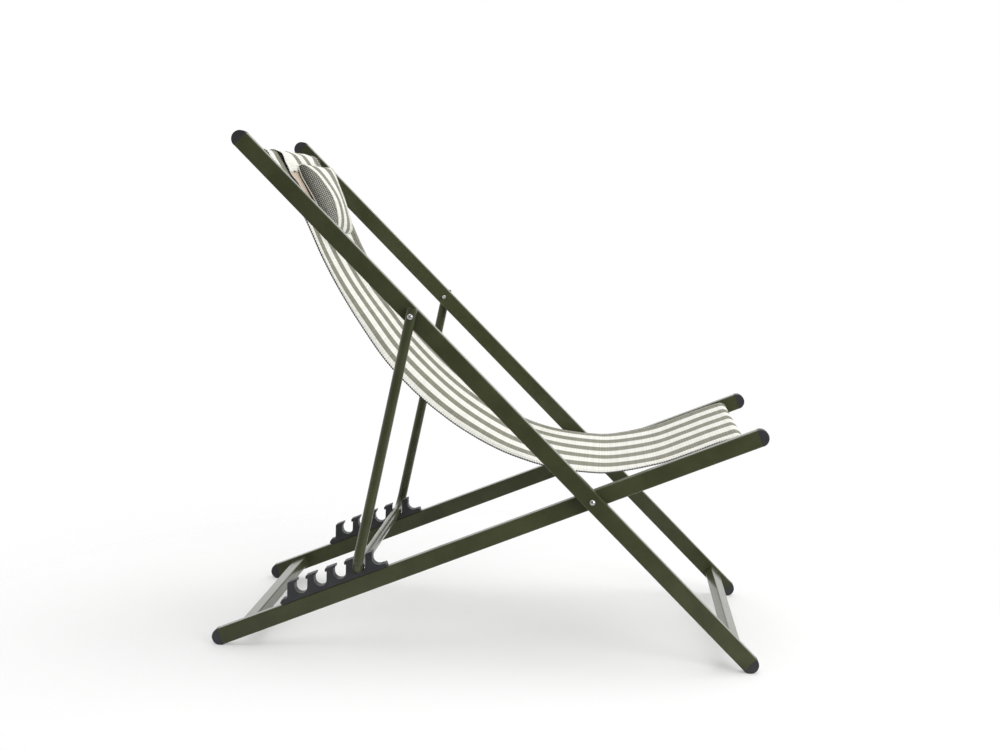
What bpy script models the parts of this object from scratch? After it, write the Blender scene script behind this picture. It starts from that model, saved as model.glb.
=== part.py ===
"""Reclining sling sun lounger: two crossed rail frames, a U-shaped prop and a striped sling.

Metres, +Z up, +X towards the sitter's feet, +Y to the sitter's left. The origin is on the
floor, under the middle of the chair. The folding hinge of the two frames runs along Y.
"""
import math

import bmesh
import bpy
from mathutils import Vector

# Driving dimensions
GAP = 0.0003                      # clearance between touching pieces
RAIL_DEPTH = 0.030                # rail section, seen from the side
RAIL_WIDTH = 0.020                # rail section, across the chair
RAIL_WALL = 0.0015
RAIL_CORNER = 0.0022
CROSS_DEPTH = 0.028               # welded cross members, along the rail
CROSS_HEIGHT = 0.018              # welded cross members, square to the rail
SEAT_SLOPE = math.radians(22.77)  # seat rails rise towards the front
BACK_SLOPE = math.radians(44.18)  # back rails rise towards the head
PIVOT_X = 0.184                   # folding hinge
PIVOT_Z = 0.2876
CAP_RADIUS = RAIL_DEPTH / 2
FOOT_FLAT = 0.0005                # depth of the flat under each foot
SEAT_FRONT_REACH = 0.3065         # hinge to the front cap's centre
BACK_HEAD_REACH = 0.8629          # hinge to the head cap's centre
BACK_OUTER_Y = 0.280              # outer faces of the back rails
RAIL_SPACE = 0.002                # side gap between the back rails and the seat rails
PROP_PIVOT_REACH = 0.445          # hinge to the prop's bolts, along the back rails
PROP_DIAMETER = 0.018
PROP_WALL = 0.0015
PROP_BEND = 0.028                 # centreline radius of the prop's two bends
PROP_OVERHANG = 0.0138            # open tube end beyond the bolt
BOLT_RADIUS = 0.003
BOLT_HOLE = 0.0034
HEAD_RADIUS = 0.0052
SLING_TUBE_RADIUS = 0.011         # head tube and front tube
FABRIC = 0.0012
SLING_HALF = 0.229
STRAP_HALF = 0.146
PILLOW_HALF = 0.100
HEAD_TUBE_REACH = 0.8247          # hinge to the head tube, along the back rails
FRONT_TUBE_REACH = 0.2688         # hinge to the front tube, along the seat rails
RACK_NOTCHES = 5
RACK_PITCH = 0.0340               # notch pitch, measured level
FIRST_NOTCH_X = -0.32305
NOTCH_RADIUS = 0.01115
PROP_NOTCH = 3                    # the prop rests in this notch, counted from 0 at the rear

# Derived sizes
SEAT_REAR_REACH = (PIVOT_Z - CAP_RADIUS + FOOT_FLAT) / math.sin(SEAT_SLOPE)
BACK_FOOT_REACH = (PIVOT_Z - CAP_RADIUS + FOOT_FLAT) / math.sin(BACK_SLOPE)
BACK_Y = BACK_OUTER_Y - RAIL_WIDTH / 2
SEAT_OUTER_Y = BACK_OUTER_Y - RAIL_WIDTH - RAIL_SPACE
SEAT_Y = SEAT_OUTER_Y - RAIL_WIDTH / 2
PROP_Y = BACK_OUTER_Y + RAIL_SPACE + PROP_DIAMETER / 2
SIDES = {"left": 1, "right": -1}
ROUND_STEPS = 16

COLOURS = {
    "frame_paint": ((0.048, 0.052, 0.026), 0.42, 0.15),
    "dark_plastic": ((0.030, 0.030, 0.034), 0.50, 0.0),
    "bolt_steel": ((0.62, 0.62, 0.62), 0.25, 1.0),
    "nylon": ((0.75, 0.74, 0.70), 0.45, 0.0),
    "sling_fabric": ((0.72, 0.71, 0.64), 0.80, 0.0),
    "pillow_fabric": ((0.66, 0.66, 0.58), 0.80, 0.0),
}


def make_collection(name):
    collection = bpy.data.collections.new(name)
    bpy.context.scene.collection.children.link(collection)
    return collection


def make_material(name):
    colour, roughness, metallic = COLOURS[name]
    material = bpy.data.materials.new(name)
    material.use_nodes = True
    shader = material.node_tree.nodes["Principled BSDF"]
    shader.inputs["Base Color"].default_value = (*colour, 1.0)
    shader.inputs["Roughness"].default_value = roughness
    shader.inputs["Metallic"].default_value = metallic
    return material


def add_object(name, data, collection, parent=None):
    item = bpy.data.objects.new(name, data)
    collection.objects.link(item)
    item.parent = parent
    return item


def add_empty(name, location, turn=0.0, parent=None):
    """An empty on a joint's axis. turn slopes its X axis down by that angle."""
    empty = add_object(name, None, PARTS, parent)
    empty.empty_display_size = 0.05
    empty.location = location
    empty.rotation_euler = (0.0, turn, 0.0)
    return empty


def circle(radius, centre=(0.0, 0.0), steps=ROUND_STEPS):
    turns = [2 * math.pi * i / steps for i in range(steps)]
    return [(centre[0] + radius * math.cos(a), centre[1] + radius * math.sin(a)) for a in turns]


def arc(centre, radius, start_deg, end_deg, steps):
    angles = [math.radians(start_deg + (end_deg - start_deg) * i / steps) for i in range(steps + 1)]
    return [(centre[0] + radius * math.cos(a), centre[1] + radius * math.sin(a)) for a in angles]


def rounded_box(size_x, size_y, corner, steps=3):
    """A rectangle with round corners, as a closed list of points."""
    points = []
    for sign_x, sign_y, start in ((1, 1, 0), (-1, 1, 90), (-1, -1, 180), (1, -1, 270)):
        centre = (sign_x * (size_x / 2 - corner), sign_y * (size_y / 2 - corner))
        points += arc(centre, corner, start, start + 90, steps)
    return points


def along_rail(reach, slope):
    """The XZ place at a distance from the hinge along a rail of that slope, positive towards the front."""
    return (PIVOT_X + reach * math.cos(slope), PIVOT_Z + reach * math.sin(slope))


def smooth_path(points, steps):
    """Points along a Catmull-Rom curve through the given points."""
    knots = [Vector(p) for p in points]
    knots = [2 * knots[0] - knots[1]] + knots + [2 * knots[-1] - knots[-2]]
    path = []
    for a, b, c, d in zip(knots, knots[1:], knots[2:], knots[3:]):
        for i in range(steps):
            t = i / steps
            path.append(tuple(0.5 * (2 * b + (c - a) * t + (2 * a - 5 * b + 4 * c - d) * t * t
                                     + (3 * b - a - 3 * c + d) * t ** 3)))
    path.append(tuple(knots[-2]))
    return path


def make_curve(name, splines, dimensions, closed):
    curve = bpy.data.curves.new(name, "CURVE")
    curve.dimensions = dimensions
    curve.render_resolution_u = 0
    for points in splines:
        spline = curve.splines.new("POLY")
        spline.points.add(len(points) - 1)
        for point, place in zip(spline.points, points):
            point.co = (*place, *(0.0,) * (3 - len(place)), 1.0)
        spline.use_cyclic_u = closed
    return curve


def curve_to_mesh(item):
    """Replace a curve object by a mesh object of its evaluated shape, in the same place."""
    bpy.context.view_layer.update()
    graph = bpy.context.evaluated_depsgraph_get()
    mesh = bpy.data.meshes.new_from_object(item.evaluated_get(graph))
    shape = bmesh.new()
    shape.from_mesh(mesh)
    bmesh.ops.remove_doubles(shape, verts=shape.verts, dist=0.00001)
    shape.to_mesh(mesh)
    shape.free()
    name = item.name
    placed = add_object(name + "_mesh", mesh, item.users_collection[0], item.parent)
    placed.matrix_local = item.matrix_local.copy()
    bpy.data.objects.remove(item)
    placed.name = name
    return placed


def finish(item, material, smooth_deg=35):
    """Give a piece its material and shade its round sides smooth."""
    item.data.materials.clear()
    item.data.materials.append(MATERIALS[material])
    if item.type == "MESH":
        item.data.shade_smooth()
        item.data.set_sharp_from_angle(angle=math.radians(smooth_deg))
    return item


def flat_piece(name, splines, thickness, parent, y_centre, collection=None):
    """An outline in the XZ plane of its parent, thickened along Y, as a mesh."""
    curve = make_curve(name, splines, "2D", True)
    curve.fill_mode = "BOTH"
    curve.extrude = thickness / 2
    item = add_object(name, curve, collection or PARTS, parent)
    item.rotation_euler = (math.pi / 2, 0.0, 0.0)
    item.location = (0.0, y_centre, 0.0)
    return curve_to_mesh(item)


def bar(name, profiles, length, parent, centre, along="X"):
    """A section of one or more outlines, extruded along its parent's X or Y axis, as a mesh."""
    curve = make_curve(name, profiles, "2D", True)
    curve.fill_mode = "BOTH"
    curve.extrude = length / 2
    item = add_object(name, curve, PARTS, parent)
    item.rotation_euler = (0.0, math.pi / 2, 0.0) if along == "X" else (math.pi / 2, 0.0, 0.0)
    item.location = centre
    return curve_to_mesh(item)


def turned(name, profile, parent, location, side, collection=None):
    """A turned piece. The profile's second coordinate points outwards along Y on its side."""
    mesh = bpy.data.meshes.new(name)
    edges = [(i, i + 1) for i in range(len(profile) - 1)]
    mesh.from_pydata([(radius, 0.0, height) for radius, height in profile], edges, [])
    item = add_object(name, mesh, collection or PARTS, parent)
    item.location = location
    item.rotation_euler = (-side * math.pi / 2, 0.0, 0.0)
    screw = item.modifiers.new("turn", "SCREW")
    screw.steps = ROUND_STEPS
    screw.render_steps = ROUND_STEPS
    screw.use_merge_vertices = True
    screw.merge_threshold = 0.00001
    screw.use_smooth_shade = True
    return item


def cut(item, cutter, operation="DIFFERENCE"):
    boolean = item.modifiers.new("cut", "BOOLEAN")
    boolean.operation = operation
    boolean.object = cutter
    return item


def as_cutter(item):
    item.hide_render = True
    item.display_type = "WIRE"
    return item


def hole_cutter(name, parent, radius):
    """A long pin along Y through both sides of the chair."""
    item = bar(name, [circle(radius)], 0.7, parent, (0.0, 0.0, 0.0), "Y")
    PARTS.objects.unlink(item)
    CUTTERS.objects.link(item)
    return as_cutter(item)


def floor_cutter():
    """A block under the floor, which flattens the feet."""
    mesh = bpy.data.meshes.new("floor_cutter")
    shape = bmesh.new()
    bmesh.ops.create_cube(shape, size=1.0)
    bmesh.ops.scale(shape, vec=(1.4, 0.9, 0.1), verts=shape.verts)
    bmesh.ops.translate(shape, vec=(0.0, 0.0, -0.05), verts=shape.verts)
    shape.to_mesh(mesh)
    shape.free()
    return as_cutter(add_object("floor_cutter", mesh, CUTTERS))


def rail(name, parent, x_low, x_high, y_centre):
    """A hollow rail between two cap centres, open at both ends."""
    outer = rounded_box(RAIL_DEPTH, RAIL_WIDTH, RAIL_CORNER)
    inner = rounded_box(RAIL_DEPTH - 2 * RAIL_WALL, RAIL_WIDTH - 2 * RAIL_WALL, RAIL_CORNER - RAIL_WALL)
    length = x_high - x_low - 2 * GAP
    return bar(name, [outer, inner], length, parent, ((x_low + x_high) / 2, y_centre, 0.0))


def end_cap(name, parent, x, y_centre, outward):
    """A half-round plastic end cap, with a plug that fits inside the rail."""
    plug_length = 0.018
    shell = arc((x, 0.0), CAP_RADIUS, 90, 90 - 180 * outward, 12)
    cap = flat_piece(name, [shell], RAIL_WIDTH, parent, y_centre)
    inset = RAIL_WALL + GAP
    x_plug = x - outward * (plug_length / 2 - 0.002)
    plug = bar(name + "_plug", [rounded_box(RAIL_DEPTH - 2 * inset, RAIL_WIDTH - 2 * inset, 0.0006)],
               plug_length + 0.004, parent, (x_plug, y_centre, 0.0))
    PARTS.objects.unlink(plug)
    CUTTERS.objects.link(plug)
    cut(cap, as_cutter(plug), "UNION")
    return finish(cap, "dark_plastic")


def cross_member(name, parent, x, inner_y):
    """A welded rectangular tube between the two rails of a frame."""
    outer = rounded_box(CROSS_DEPTH, CROSS_HEIGHT, RAIL_CORNER)
    inner = rounded_box(CROSS_DEPTH - 2 * RAIL_WALL, CROSS_HEIGHT - 2 * RAIL_WALL, RAIL_CORNER - RAIL_WALL)
    item = bar(name, [outer, inner], 2 * (inner_y - GAP), parent, (x, 0.0, 0.0), "Y")
    return finish(item, "frame_paint")


def round_tube(name, parent, x, inner_y):
    """A welded round tube that carries one end of the sling."""
    rings = [circle(SLING_TUBE_RADIUS, steps=24), circle(SLING_TUBE_RADIUS - RAIL_WALL, steps=24)]
    item = bar(name, rings, 2 * (inner_y - GAP), parent, (x, 0.0, 0.0), "Y")
    return finish(item, "frame_paint")


def dome_profile(radius, height, steps=4):
    """The outer side of a domed head, from its top down to its rim."""
    angles = [math.pi / 2 * (1 - i / steps) for i in range(steps + 1)]
    return [(radius * math.cos(a), height * math.sin(a)) for a in angles]


def hinge_hardware(name, parent, outer_y, washer_y, inner_y, side):
    """A domed bolt, a spacer between the two frames' pieces, and a domed cap nut."""
    head_height = 0.0032
    nut_height = 0.0070
    nut_bore = 0.0050
    tip = outer_y - inner_y + 0.0040
    seat = outer_y + GAP
    bolt = dome_profile(HEAD_RADIUS, head_height)
    bolt[0] = (0.0, head_height)
    bolt += [(BOLT_RADIUS, 0.0), (BOLT_RADIUS, -tip), (0.0, -tip)]
    finish(turned(f"{name}_bolt", bolt, parent, (0.0, side * seat, 0.0), side), "bolt_steel")
    ring = [circle(0.0065), circle(BOLT_HOLE)]
    spacer = flat_piece(f"{name}_spacer", ring, RAIL_SPACE - 2 * GAP, parent, side * washer_y)
    finish(spacer, "nylon")
    nut = dome_profile(0.0050, nut_height)
    nut[0] = (0.0, nut_height)
    nut += [(BOLT_HOLE, 0.0), (BOLT_HOLE, nut_bore), (0.0, nut_bore)]
    finish(turned(f"{name}_nut", nut, parent, (0.0, side * (inner_y - GAP), 0.0), -side), "bolt_steel")


def rail_top(x):
    """Height of the seat rails' top face at x."""
    return PIVOT_Z + (x - PIVOT_X) * math.tan(SEAT_SLOPE) + RAIL_DEPTH / 2 / math.cos(SEAT_SLOPE)


def notch_x(index):
    return FIRST_NOTCH_X + RACK_PITCH * index


def notch_centre(index):
    base = 0.0084 / math.cos(SEAT_SLOPE)
    x = notch_x(index)
    return x, rail_top(x) + base + NOTCH_RADIUS


def rack_outline():
    """Side view of a notched rack: upright teeth with lips, on a base along the rail."""
    lips = [0.0036] * (RACK_NOTCHES - 1)
    lips[PROP_NOTCH] = 0.0008         # pressed back, so that the crossbar can pass
    lip_height = 0.0048
    tooth_rise = 0.0374
    rise = math.tan(SEAT_SLOPE)
    first_side = notch_x(0) - NOTCH_RADIUS - 0.0132
    nose = first_side - 0.0125
    points = [(nose + 0.0030, rail_top(nose + 0.0030) + GAP),
              (nose, rail_top(nose) + 0.0055),
              (nose + 0.0030, rail_top(nose + 0.0030) + 0.0098),
              (first_side, rail_top(first_side) + 0.0098),
              (first_side, rail_top(first_side) + tooth_rise - 0.0012),
              (first_side + 0.0010, rail_top(first_side) + tooth_rise + 0.0004)]
    for index in range(RACK_NOTCHES - 1):
        x, z = notch_centre(index)
        lip = lips[index]
        left, right = x - NOTCH_RADIUS, x + NOTCH_RADIUS
        top_left = rail_top(left + lip) + tooth_rise
        top_right = rail_top(right - lip) + tooth_rise
        points += [(left + lip - 0.0008, top_left - 0.0008 * rise), (left + lip, top_left - 0.0012),
                   (left + lip - 0.0006, top_left - lip_height), (left, top_left - lip_height - 0.0012)]
        points += arc((x, z), NOTCH_RADIUS, 180, 360, 10)
        points += [(right, top_right - lip_height), (right - lip + 0.0006, top_right - lip_height - 0.0008),
                   (right - lip, top_right - 0.0012), (right - lip + 0.0008, top_right + 0.0008 * rise)]
    x, z = notch_centre(RACK_NOTCHES - 1)
    last_top = rail_top(x - NOTCH_RADIUS) + tooth_rise
    points += [(x - NOTCH_RADIUS - 0.0010, last_top - 0.0004), (x - NOTCH_RADIUS, last_top - 0.0012)]
    points += arc((x, z), NOTCH_RADIUS, 180, 290, 7)
    tail = x + 0.0132
    points += [(tail, rail_top(tail) + 0.0075), (tail + 0.0014, rail_top(tail) + 0.0040),
               (tail + 0.0024, rail_top(tail + 0.0024) + GAP)]
    return points


def rack_screws(side_name, side, rack, seat_rail):
    """Two countersunk screws, square to the rail, through the rack's ends into the rail."""
    head, shank, length = 0.0030, 0.0017, 0.0110
    first_side = notch_x(0) - NOTCH_RADIUS - 0.0132
    tail = notch_centre(RACK_NOTCHES - 1)[0] + 0.0076
    for place, x, top in (("rear", first_side - 0.0046, 0.0082), ("front", tail, 0.0078)):
        along = (x - PIVOT_X) / math.cos(SEAT_SLOPE)
        height = RAIL_DEPTH / 2 + top * math.cos(SEAT_SLOPE) - 0.0020
        along += math.tan(SEAT_SLOPE) * height
        spot = (along, side * SEAT_Y, height)
        cutter = turned(f"rack_screw_cutter_{place}_{side_name}",
                        [(0.0, 0.02), (head + GAP, 0.02), (head + GAP, -GAP), (shank + GAP, -GAP),
                         (shank + GAP, -length - 0.004), (0.0, -length - 0.004)],
                        SEAT_DATUM, spot, side, CUTTERS)
        cutter.rotation_euler = (0.0, 0.0, 0.0)
        cut(rack, as_cutter(cutter))
        cut(seat_rail, cutter)
        screw = turned(f"rack_screw_{place}_{side_name}",
                       [(0.0, 0.0016), (head * 0.7, 0.0014), (head, 0.0004), (head, 0.0), (shank, 0.0),
                        (shank, -length), (0.0, -length - 0.001)], SEAT_DATUM, spot, side)
        screw.rotation_euler = (0.0, 0.0, 0.0)
        finish(screw, "bolt_steel")


def build_seat_frame():
    for side_name, side in SIDES.items():
        seat_rail = rail(f"seat_rail_{side_name}", SEAT_DATUM, -SEAT_REAR_REACH, SEAT_FRONT_REACH,
                         side * SEAT_Y)
        cut(seat_rail, PIVOT_CUTTER)
        finish(seat_rail, "frame_paint")
        rear = end_cap(f"seat_rear_foot_{side_name}", SEAT_DATUM, -SEAT_REAR_REACH, side * SEAT_Y, -1)
        cut(rear, FLOOR_CUTTER)
        end_cap(f"seat_front_cap_{side_name}", SEAT_DATUM, SEAT_FRONT_REACH, side * SEAT_Y, 1)
        rack = flat_piece(f"notch_rack_{side_name}", [rack_outline()], RAIL_WIDTH, None, side * SEAT_Y)
        finish(rack, "dark_plastic")
        rack_screws(side_name, side, rack, seat_rail)
    inner_y = SEAT_OUTER_Y - RAIL_WIDTH
    cross_member("seat_rear_stretcher", SEAT_DATUM, 0.0495 - SEAT_REAR_REACH, inner_y)
    round_tube("seat_front_tube", SEAT_DATUM, FRONT_TUBE_REACH, inner_y)


def build_back_frame():
    for side_name, side in SIDES.items():
        back_rail = rail(f"back_rail_{side_name}", BACK_DATUM, -BACK_HEAD_REACH, BACK_FOOT_REACH,
                         side * BACK_Y)
        cut(back_rail, PIVOT_CUTTER)
        cut(back_rail, PROP_CUTTER)
        finish(back_rail, "frame_paint")
        foot = end_cap(f"back_foot_{side_name}", BACK_DATUM, BACK_FOOT_REACH, side * BACK_Y, 1)
        cut(foot, FLOOR_CUTTER)
        end_cap(f"back_head_cap_{side_name}", BACK_DATUM, -BACK_HEAD_REACH, side * BACK_Y, -1)
    inner_y = BACK_OUTER_Y - RAIL_WIDTH
    cross_member("foot_stretcher", BACK_DATUM, BACK_FOOT_REACH - 0.0415, inner_y)
    round_tube("head_tube", BACK_DATUM, -HEAD_TUBE_REACH, inner_y)


def build_prop(length):
    """The U-shaped tube: two legs outside the back rails, and a crossbar in the racks' notches."""
    half = PROP_Y - PROP_BEND
    bend_left = arc((half, PROP_BEND), PROP_BEND, 0, -90, 6)
    path = [(PROP_Y, length + PROP_OVERHANG), (PROP_Y, length), (PROP_Y, length / 2)] + bend_left
    path += [(-y, z) for y, z in reversed(path)]
    curve = make_curve("prop_frame", [[(0.0, y, z - length) for y, z in path]], "3D", False)
    curve.bevel_depth = PROP_DIAMETER / 2
    curve.bevel_resolution = 6
    curve.use_fill_caps = False
    item = add_object("prop_frame", curve, PARTS, PROP_DATUM)
    item = curve_to_mesh(item)
    wall = item.modifiers.new("wall", "SOLIDIFY")
    wall.thickness = PROP_WALL
    wall.offset = -1.0
    cut(item, PROP_CUTTER)
    finish(item, "frame_paint")


def ribbon(name, path, half_width, parent, material):
    """A strip of cloth that follows a path in the XZ plane, straight across the chair."""
    curve = make_curve(name, [[(x, z) for x, z in path]], "2D", False)
    curve.extrude = half_width
    curve.fill_mode = "NONE"
    item = add_object(name, curve, PARTS, parent)
    item.rotation_euler = (math.pi / 2, 0.0, 0.0)
    item = curve_to_mesh(item)
    shell = item.modifiers.new("cloth", "SOLIDIFY")
    shell.thickness = FABRIC
    shell.offset = 0.0
    return finish(item, material, 60)


def build_sling(head, front):
    """The sling in three lengths: on the back frame, over the hinge, and on the seat frame."""
    sleeve = SLING_TUBE_RADIUS + GAP + FABRIC / 2
    hang = [(-0.3617, 0.8080), (-0.3339, 0.7562), (-0.3034, 0.6922), (-0.2694, 0.6335),
            (-0.2291, 0.5765), (-0.1840, 0.5192), (-0.1263, 0.4629)]
    lap = [(-0.0670, 0.4162), (0.0021, 0.3754), (0.0558, 0.3534)]
    over = [(0.1113, 0.3399), (0.1758, 0.3336)]
    seat = [(0.2230, 0.3350), (0.2941, 0.3495), (0.3497, 0.3710), (0.3887, 0.3875)]
    head_wrap = arc(head, sleeve, 345, 33, 16)
    front_wrap = arc(front, sleeve, 112, -205, 16)
    back_path = head_wrap + smooth_path([head_wrap[-1]] + hang + lap, 2)[1:]
    seat_path = smooth_path(seat + [front_wrap[0]], 3)[:-1] + front_wrap
    bridge = smooth_path([(lap[-1][0] + 0.004, lap[-1][1] - 0.0012)] + over
                         + [(seat[0][0] - 0.004, seat[0][1] - 0.0003)], 4)
    ribbon("sling_back", back_path, SLING_HALF, None, "sling_fabric")
    ribbon("sling_middle", bridge, SLING_HALF, None, "sling_fabric")
    ribbon("sling_seat", seat_path, SLING_HALF, None, "sling_fabric")


def build_headrest(head):
    """A strap sewn on top of the sling's sleeve, and the pillow that hangs from it."""
    wrap = arc(head, SLING_TUBE_RADIUS + FABRIC + 0.0006 + GAP + FABRIC / 2, 160, 72, 7)
    drop = [(-0.3897, 0.8697), (-0.3790, 0.8565), (-0.3725, 0.8440), (-0.3685, 0.8330), (-0.3625, 0.8190)]
    strap_path = wrap + smooth_path([wrap[-1]] + drop, 3)[1:]
    ribbon("headrest_strap", strap_path, STRAP_HALF, None, "sling_fabric")
    front = [(-0.3668, 0.8500), (-0.3600, 0.8525), (-0.3500, 0.8490), (-0.3390, 0.8400), (-0.3300, 0.8240),
             (-0.3187, 0.8040), (-0.3060, 0.7820), (-0.2970, 0.7620), (-0.2935, 0.7450), (-0.2985, 0.7280),
             (-0.3090, 0.7235)]
    rear = [(-0.3165, 0.7330), (-0.3230, 0.7620), (-0.3372, 0.7874), (-0.3501, 0.8101), (-0.3600, 0.8310),
            (-0.3662, 0.8440)]
    outline = smooth_path(front + rear + front[:1], 2)[:-1]
    pillow = flat_piece("headrest_pillow", [outline], 2 * PILLOW_HALF, None, 0.0)
    finish(pillow, "pillow_fabric")


for scene_object in list(bpy.data.objects):
    bpy.data.objects.remove(scene_object)

PARTS = make_collection("reclining_sun_lounger")
CUTTERS = make_collection("cutters")
MATERIALS = {name: make_material(name) for name in COLOURS}

SEAT_DATUM = add_empty("seat_axis", (PIVOT_X, 0.0, PIVOT_Z), -SEAT_SLOPE)
BACK_DATUM = add_empty("back_axis", (PIVOT_X, 0.0, PIVOT_Z), BACK_SLOPE)

HEAD_TUBE = along_rail(-HEAD_TUBE_REACH, -BACK_SLOPE)
FRONT_TUBE = along_rail(FRONT_TUBE_REACH, SEAT_SLOPE)
PROP_TOP = along_rail(-PROP_PIVOT_REACH, -BACK_SLOPE)
NOTCH_CENTRE = notch_centre(PROP_NOTCH)
CROSSBAR = (NOTCH_CENTRE[0], NOTCH_CENTRE[1] - (NOTCH_RADIUS - PROP_DIAMETER / 2 - GAP))
PROP_LEAN = math.atan2(PROP_TOP[0] - CROSSBAR[0], PROP_TOP[1] - CROSSBAR[1])
PROP_LENGTH = math.dist(PROP_TOP, CROSSBAR)
PROP_DATUM = add_empty("prop_axis", (-PROP_PIVOT_REACH, 0.0, 0.0), PROP_LEAN - BACK_SLOPE, BACK_DATUM)

PIVOT_CUTTER = hole_cutter("pivot_hole_cutter", BACK_DATUM, BOLT_HOLE)
PROP_CUTTER = hole_cutter("prop_hole_cutter", PROP_DATUM, BOLT_HOLE)
FLOOR_CUTTER = floor_cutter()

build_seat_frame()
build_back_frame()
build_prop(PROP_LENGTH)
for SIDE_NAME, SIDE in SIDES.items():
    hinge_hardware(f"pivot_{SIDE_NAME}", SEAT_DATUM, BACK_OUTER_Y, SEAT_OUTER_Y + RAIL_SPACE / 2,
                   SEAT_OUTER_Y - RAIL_WIDTH, SIDE)
    hinge_hardware(f"prop_{SIDE_NAME}", PROP_DATUM, PROP_Y + PROP_DIAMETER / 2,
                   BACK_OUTER_Y + RAIL_SPACE / 2, BACK_OUTER_Y - RAIL_WIDTH, SIDE)
build_sling(HEAD_TUBE, FRONT_TUBE)
build_headrest(HEAD_TUBE)
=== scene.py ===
"""Reclining sun lounger with a striped sling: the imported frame, finished with cloth, stitching and paint."""
import math

import bmesh
import bpy
import numpy as np
from mathutils import Matrix, Vector


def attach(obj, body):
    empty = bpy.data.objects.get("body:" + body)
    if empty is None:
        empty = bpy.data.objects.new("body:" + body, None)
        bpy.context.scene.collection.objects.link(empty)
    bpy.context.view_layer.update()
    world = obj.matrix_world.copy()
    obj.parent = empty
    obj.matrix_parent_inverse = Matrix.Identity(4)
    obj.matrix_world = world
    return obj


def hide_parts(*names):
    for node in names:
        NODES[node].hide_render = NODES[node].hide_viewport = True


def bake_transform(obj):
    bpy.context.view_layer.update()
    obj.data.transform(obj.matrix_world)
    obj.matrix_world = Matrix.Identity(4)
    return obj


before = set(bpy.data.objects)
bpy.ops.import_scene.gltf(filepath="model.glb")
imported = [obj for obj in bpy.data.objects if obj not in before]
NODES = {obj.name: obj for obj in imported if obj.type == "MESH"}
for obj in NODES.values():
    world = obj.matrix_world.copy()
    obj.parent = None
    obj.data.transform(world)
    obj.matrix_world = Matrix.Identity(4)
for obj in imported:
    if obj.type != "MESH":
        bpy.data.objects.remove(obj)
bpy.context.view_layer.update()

# ---------------------------------------------------------------- sizes, in metres
SLING_HALF = 0.229
SLING_THICK = 0.0011
HEM_WIDTH = 0.016
STRAP_HALF = 0.146
STRAP_THICK = 0.0012
PILLOW_HALF = 0.100
STRIPE_PERIOD = 0.0909
SLEEVE_RADIUS = 0.0119
STRAP_RADIUS = 0.0137
HEAD_TUBE = (-0.40744, 0.86235)
FRONT_TUBE = (0.43184, 0.39163)
SHEET_STEP = 0.004
FLAP_LENGTH = 0.034
FLAP_OFFSET = 0.0016
FLAP_SKIP = 2                     # sheet steps left out where a flap meets its tube
LEAVE_DEG = 33.0
ARRIVE_DEG = 112.0
BAND_BACK = 0.0052
PILLOW_STEPS = 36
PUFF_FRONT = 0.0070
PUFF_REAR = 0.0012

# ---------------------------------------------------------------- brightness of the room
ROOM_DARK = 0.22
ROOM_LIGHT = 0.88
ROOM_GLOW = 0.4


def linear(code):
    """A colour given as sRGB hexadecimal, as the linear RGBA that shaders take."""
    parts = [int(code[i:i + 2], 16) / 255 for i in (0, 2, 4)]
    return (*[c / 12.92 if c <= 0.04045 else ((c + 0.055) / 1.055) ** 2.4 for c in parts], 1.0)


# ---------------------------------------------------------------- paths and meshes
def arc(centre, radius, start_deg, end_deg, steps):
    angles = [math.radians(start_deg + (end_deg - start_deg) * i / steps) for i in range(steps + 1)]
    return [(centre[0] + radius * math.cos(a), centre[1] + radius * math.sin(a)) for a in angles]


def smooth_path(points, steps):
    """Points along a Catmull-Rom curve through the given points."""
    knots = [np.array(p, float) for p in points]
    knots = [2 * knots[0] - knots[1]] + knots + [2 * knots[-1] - knots[-2]]
    path = []
    for a, b, c, d in zip(knots, knots[1:], knots[2:], knots[3:]):
        for i in range(steps):
            t = i / steps
            path.append(0.5 * (2 * b + (c - a) * t + (2 * a - 5 * b + 4 * c - d) * t * t
                               + (3 * b - a - 3 * c + d) * t ** 3))
    path.append(knots[-2])
    return path


def distances(points):
    """How far each point of a flat outline lies along it."""
    return np.r_[0.0, np.cumsum(np.hypot(*np.diff(points, axis=0).T))]


def resample(path, step):
    """The path in equal steps: distance along it, points, and unit normals on its outer side."""
    points = np.array(path, float)
    along = distances(points)
    count = max(2, round(along[-1] / step)) + 1
    s = np.linspace(0.0, along[-1], count)
    even = np.c_[np.interp(s, along, points[:, 0]), np.interp(s, along, points[:, 1])]
    tangent = np.gradient(even, axis=0)
    tangent /= np.linalg.norm(tangent, axis=1)[:, None]
    return s, even, np.c_[-tangent[:, 1], tangent[:, 0]]


def smoothstep(low, high, value):
    t = np.clip((value - low) / (high - low), 0.0, 1.0)
    return t * t * (3 - 2 * t)


def add_mesh(name, points, faces, material, smooth=True):
    mesh = bpy.data.meshes.new(name)
    mesh.from_pydata([tuple(p) for p in points], [], faces)
    mesh.update()
    mesh.materials.append(material)
    mesh.polygons.foreach_set("use_smooth", [smooth] * len(mesh.polygons))
    item = bpy.data.objects.new(name, mesh)
    bpy.context.collection.objects.link(item)
    return item


def store(item, values, name="cloth"):
    """Keeps three numbers for each vertex, which the material reads."""
    attribute = item.data.attributes.new(name, "FLOAT_VECTOR", "POINT")
    attribute.data.foreach_set("vector", np.asarray(values, np.float32).ravel())


def join_parts(name, parts, material):
    """One mesh from several lists of (points, faces)."""
    points, faces = [], []
    for some_points, some_faces in parts:
        base = len(points)
        points += [tuple(p) for p in some_points]
        faces += [[base + i for i in face] for face in some_faces]
    return add_mesh(name, points, faces, material)


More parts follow.
